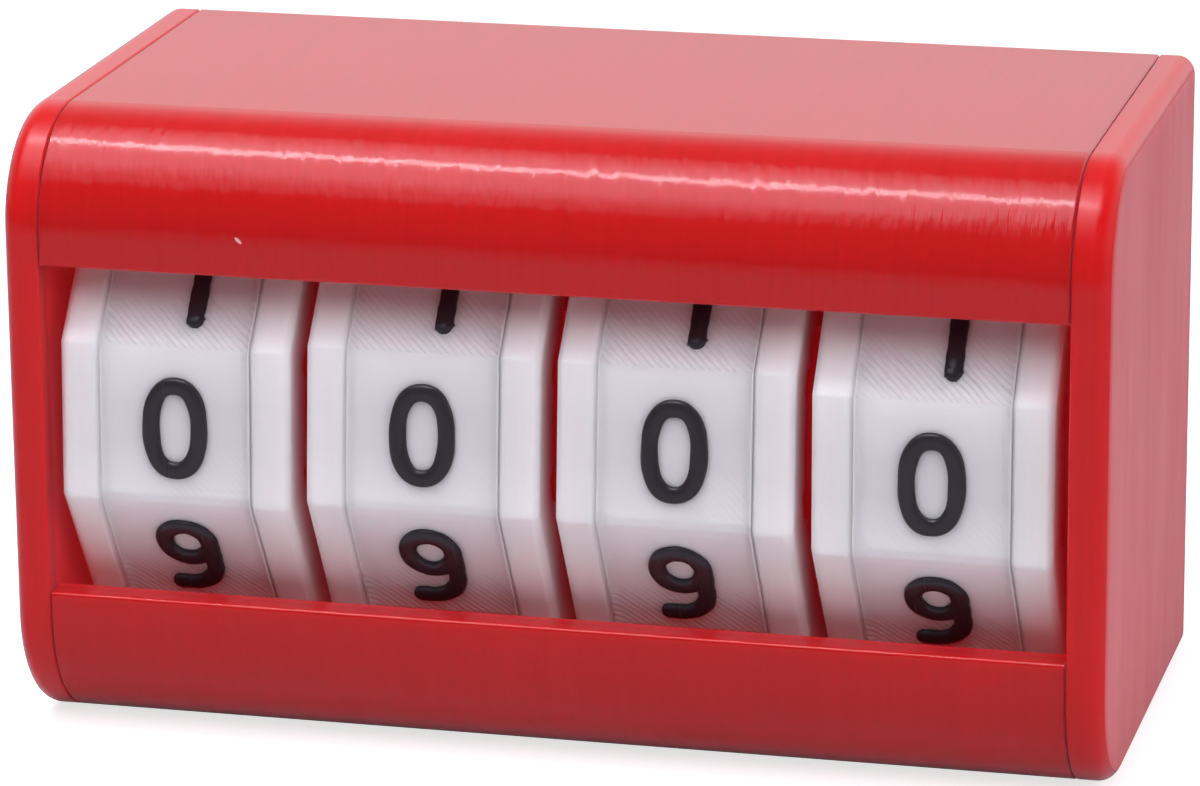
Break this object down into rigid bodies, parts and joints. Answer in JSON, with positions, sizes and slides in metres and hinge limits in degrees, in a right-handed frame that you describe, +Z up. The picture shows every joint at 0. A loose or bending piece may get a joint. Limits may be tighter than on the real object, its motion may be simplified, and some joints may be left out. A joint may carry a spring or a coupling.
{
  "type": "scoreboard",
  "caption": "Hand-turned score counter: a rounded case open along the front, with ten-sided number wheels that click round on a keyed axle between two end caps.",
  "frame": {"origin": "middle of the underside, midway between the end caps", "axes": "+X to the right along the wheels' axle, -Y the front with the window, +Z up"},
  "size_m": [0.09, 0.044, 0.0517],
  "materials": {
    "case": "satin red printed plastic with fine print lines along the case",
    "cap": "matt red printed plastic, dusted pale on the flat outer face",
    "wheel": "white printed plastic",
    "band": "pale grey-white printed plastic with slanting print lines",
    "numerals": "raised dark grey printed numerals",
    "spring": "red printed plastic, as the case",
    "axle": "red printed plastic, as the case"
  },
  "bodies": {
    "case": {"case_shell": "case", "left_end_cap": "cap", "right_end_cap": "cap", "axle": "axle", "spacer_1": "spring", "spacer_2": "spring", "spacer_3": "spring", "spacer_4": "spring", "spacer_5": "spring", "click_spring_1": "spring", "click_spring_2": "spring", "click_spring_3": "spring", "click_spring_4": "spring"},
    "wheel_1": {"number_wheel_1": "wheel", "number_band_1": "band"},
    "wheel_2": {"number_wheel_2": "wheel", "number_band_2": "band"},
    "wheel_3": {"number_wheel_3": "wheel", "number_band_3": "band"},
    "wheel_4": {"number_wheel_4": "wheel", "number_band_4": "band"}
  },
  "joints": [
    {"name": "wheel_1_turn", "type": "hinge", "parent": "case", "child": "wheel_1", "pos_m": [-0.03105, -0.00142, 0.02613], "axis": [1, 0, 0], "continuous": true, "deforming": ["click_spring_1"]},
    {"name": "wheel_2_turn", "type": "hinge", "parent": "case", "child": "wheel_2", "pos_m": [-0.01035, -0.00142, 0.02613], "axis": [1, 0, 0], "continuous": true, "deforming": ["click_spring_2"]},
    {"name": "wheel_3_turn", "type": "hinge", "parent": "case", "child": "wheel_3", "pos_m": [0.01035, -0.00142, 0.02613], "axis": [1, 0, 0], "continuous": true, "deforming": ["click_spring_3"]},
    {"name": "wheel_4_turn", "type": "hinge", "parent": "case", "child": "wheel_4", "pos_m": [0.03105, -0.00142, 0.02613], "axis": [1, 0, 0], "continuous": true, "deforming": ["click_spring_4"]}
  ]
}
